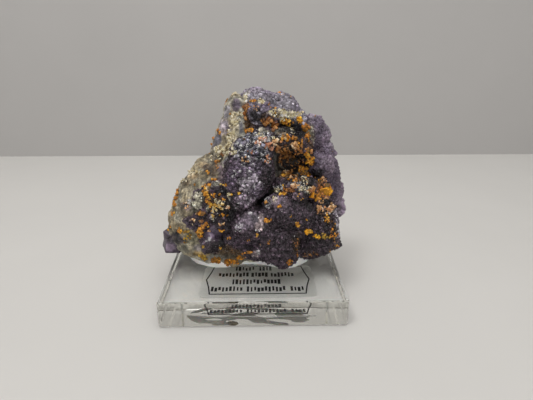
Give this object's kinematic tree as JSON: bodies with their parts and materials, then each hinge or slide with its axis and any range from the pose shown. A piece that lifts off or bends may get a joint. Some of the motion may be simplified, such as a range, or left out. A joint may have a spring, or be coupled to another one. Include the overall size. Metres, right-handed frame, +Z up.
{
  "type": "wulfenite and fluorite specimen on acrylic base",
  "caption": "Mineral specimen of wulfenite crystals on a lumpy purple fluorite crust and pale rock, held by tack on a clear square display base with a label beneath.",
  "frame": {"origin": "middle of the underside of the square base", "axes": "+Z up, -Y towards the front of the specimen and the label, +X to the right as seen from the front"},
  "size_m": [0.073, 0.0636, 0.0742],
  "materials": {
    "acrylic": "polished clear acrylic",
    "label_film": "clear film with a black printed frame",
    "tack": "soft white putty",
    "quartz": "rough broken rock, pale grey-green",
    "fluorite": "sparkling druse, translucent purple",
    "wulfenite": "resinous orange crystals"
  },
  "bodies": {
    "root": {"acrylic_base": "acrylic", "label": "label_film", "matrix": "quartz", "fluorite_crust": "fluorite", "fluorite_crown": "fluorite", "fluorite_right_edge": "fluorite", "fluorite_left_end": "fluorite", "mineral_tack": "tack", "wulfenite_01": "wulfenite", "wulfenite_02": "wulfenite", "wulfenite_03": "wulfenite", "wulfenite_04": "wulfenite", "wulfenite_05": "wulfenite", "wulfenite_06": "wulfenite", "wulfenite_07": "wulfenite", "wulfenite_08": "wulfenite", "wulfenite_09": "wulfenite", "wulfenite_10": "wulfenite", "wulfenite_11": "wulfenite", "wulfenite_12": "wulfenite", "wulfenite_13": "wulfenite", "wulfenite_14": "wulfenite", "wulfenite_15": "wulfenite", "wulfenite_16": "wulfenite", "wulfenite_17": "wulfenite", "wulfenite_18": "wulfenite"}
  },
  "joints": []
}
